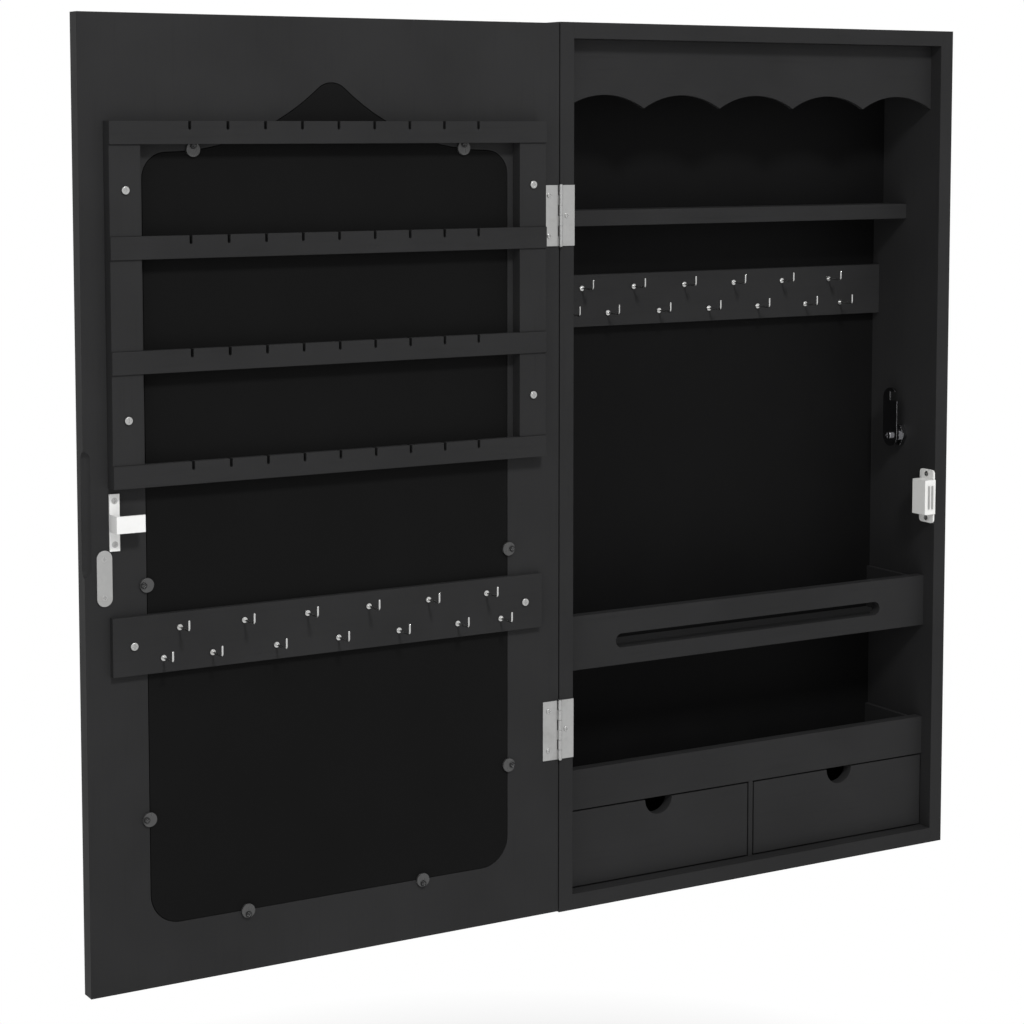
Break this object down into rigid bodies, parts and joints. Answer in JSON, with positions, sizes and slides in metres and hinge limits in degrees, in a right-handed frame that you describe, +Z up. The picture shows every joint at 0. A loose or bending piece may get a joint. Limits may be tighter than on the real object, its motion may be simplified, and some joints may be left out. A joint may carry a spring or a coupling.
{
  "type": "jewelry mirror cabinet",
  "caption": "Wall-hung jewelry cabinet: a black box with shelf, trays, drawers and hooks behind a mirror door with an earring rack, a hook rail, a cam lock and a magnetic catch.",
  "frame": {"origin": "centre of the cabinet's back, on the wall", "axes": "+X to the right along the wall seen from the room, +Y into the wall, +Z up"},
  "size_m": [0.7525, 0.1107, 0.67],
  "materials": {
    "black_paint": "satin black paint on fibreboard",
    "black_paint_inside": "dull black paint",
    "mirror": "silvered float glass",
    "dark_backing": "matt dark board",
    "zinc_steel": "zinc plated",
    "zinc_wire": "bright plated wire",
    "black_metal": "black plated",
    "lock_metal": "dark polished plating",
    "white_painted_steel": "white paint",
    "white_plastic": "moulded white",
    "clear_plastic": "smoky moulded plastic",
    "magnet": "dull ferrite"
  },
  "bodies": {
    "cabinet": {"side_panel_left": "black_paint", "side_panel_right": "black_paint", "top_panel": "black_paint", "bottom_panel": "black_paint", "back_panel": "black_paint_inside", "hanging_board": "black_paint_inside", "shelf": "black_paint", "valance": "black_paint", "upper_tray_front": "black_paint", "upper_tray_floor": "black_paint", "upper_tray_sides": "black_paint", "lower_tray_front": "black_paint", "lower_tray_floor": "black_paint", "lower_tray_sides": "black_paint", "drawer_divider": "black_paint", "cabinet_hook_rail": "black_paint", "cabinet_hooks": "zinc_wire", "hinge_upper_cabinet_leaf": "zinc_steel", "hinge_lower_cabinet_leaf": "zinc_steel", "hinge_upper_pin": "zinc_steel", "hinge_lower_pin": "zinc_steel", "lock_barrel": "lock_metal", "lock_nut": "lock_metal", "catch_housing": "white_plastic", "catch_pole_plates": "zinc_steel", "catch_magnet": "magnet", "cabinet_screws": "zinc_steel"},
    "door": {"door_frame": "black_paint", "mirror_glass": "mirror", "mirror_backing": "dark_backing", "rack_uprights": "black_paint", "rack_strips": "black_paint", "door_hook_rail": "black_paint", "door_hooks": "zinc_wire", "hinge_upper_door_leaf": "zinc_steel", "hinge_lower_door_leaf": "zinc_steel", "strike_plate": "zinc_steel", "lock_strike": "white_painted_steel", "door_screws": "zinc_steel", "clip_screws": "black_metal"},
    "drawer_left": {"drawer_left_front": "black_paint", "drawer_left_sides": "black_paint", "drawer_left_back": "black_paint", "drawer_left_bottom": "black_paint"},
    "drawer_right": {"drawer_right_front": "black_paint", "drawer_right_sides": "black_paint", "drawer_right_back": "black_paint", "drawer_right_bottom": "black_paint"},
    "lock": {"lock_plug": "lock_metal", "lock_cam": "lock_metal", "lock_cam_screw": "lock_metal"},
    "clip_1": {"mirror_clip_1": "clear_plastic"},
    "clip_2": {"mirror_clip_2": "clear_plastic"},
    "clip_3": {"mirror_clip_3": "clear_plastic"},
    "clip_4": {"mirror_clip_4": "clear_plastic"},
    "clip_5": {"mirror_clip_5": "clear_plastic"},
    "clip_6": {"mirror_clip_6": "clear_plastic"},
    "clip_7": {"mirror_clip_7": "clear_plastic"},
    "clip_8": {"mirror_clip_8": "clear_plastic"}
  },
  "joints": [
    {"name": "door_hinge", "type": "hinge", "parent": "cabinet", "child": "door", "pos_m": [-0.188, -0.08975, 0], "axis": [0, 0, 1], "range_deg": [0, 180]},
    {"name": "drawer_left_slide", "type": "slide", "parent": "cabinet", "child": "drawer_left", "axis": [0, 1, 0], "range_m": [-0.05, 0]},
    {"name": "drawer_right_slide", "type": "slide", "parent": "cabinet", "child": "drawer_right", "axis": [0, 1, 0], "range_m": [-0.05, 0]},
    {"name": "lock_turn", "type": "hinge", "parent": "cabinet", "child": "lock", "pos_m": [0.171, -0.0425, 0.002], "axis": [1, 0, 0], "range_deg": [0, 90]},
    {"name": "clip_1_turn", "type": "hinge", "parent": "door", "child": "clip_1", "pos_m": [-0.52105, -0.0889, -0.2149], "axis": [0, 1, 0], "range_deg": [0, 180]},
    {"name": "clip_2_turn", "type": "hinge", "parent": "door", "child": "clip_2", "pos_m": [-0.22995, -0.0889, -0.2149], "axis": [0, 1, 0], "range_deg": [0, 180]},
    {"name": "clip_3_turn", "type": "hinge", "parent": "door", "child": "clip_3", "pos_m": [-0.52105, -0.0889, -0.0522], "axis": [0, 1, 0], "range_deg": [0, 180]},
    {"name": "clip_4_turn", "type": "hinge", "parent": "door", "child": "clip_4", "pos_m": [-0.22995, -0.0889, -0.0522], "axis": [0, 1, 0], "range_deg": [0, 180]},
    {"name": "clip_5_turn", "type": "hinge", "parent": "door", "child": "clip_5", "pos_m": [-0.4455, -0.0889, -0.2933], "axis": [0, 1, 0], "range_deg": [0, 180]},
    {"name": "clip_6_turn", "type": "hinge", "parent": "door", "child": "clip_6", "pos_m": [-0.3055, -0.0889, -0.2933], "axis": [0, 1, 0], "range_deg": [0, 180]},
    {"name": "clip_7_turn", "type": "hinge", "parent": "door", "child": "clip_7", "pos_m": [-0.481, -0.0889, 0.24538], "axis": [0, 1, 0], "range_deg": [0, 180]},
    {"name": "clip_8_turn", "type": "hinge", "parent": "door", "child": "clip_8", "pos_m": [-0.27, -0.0889, 0.24538], "axis": [0, 1, 0], "range_deg": [0, 180]}
  ]
}
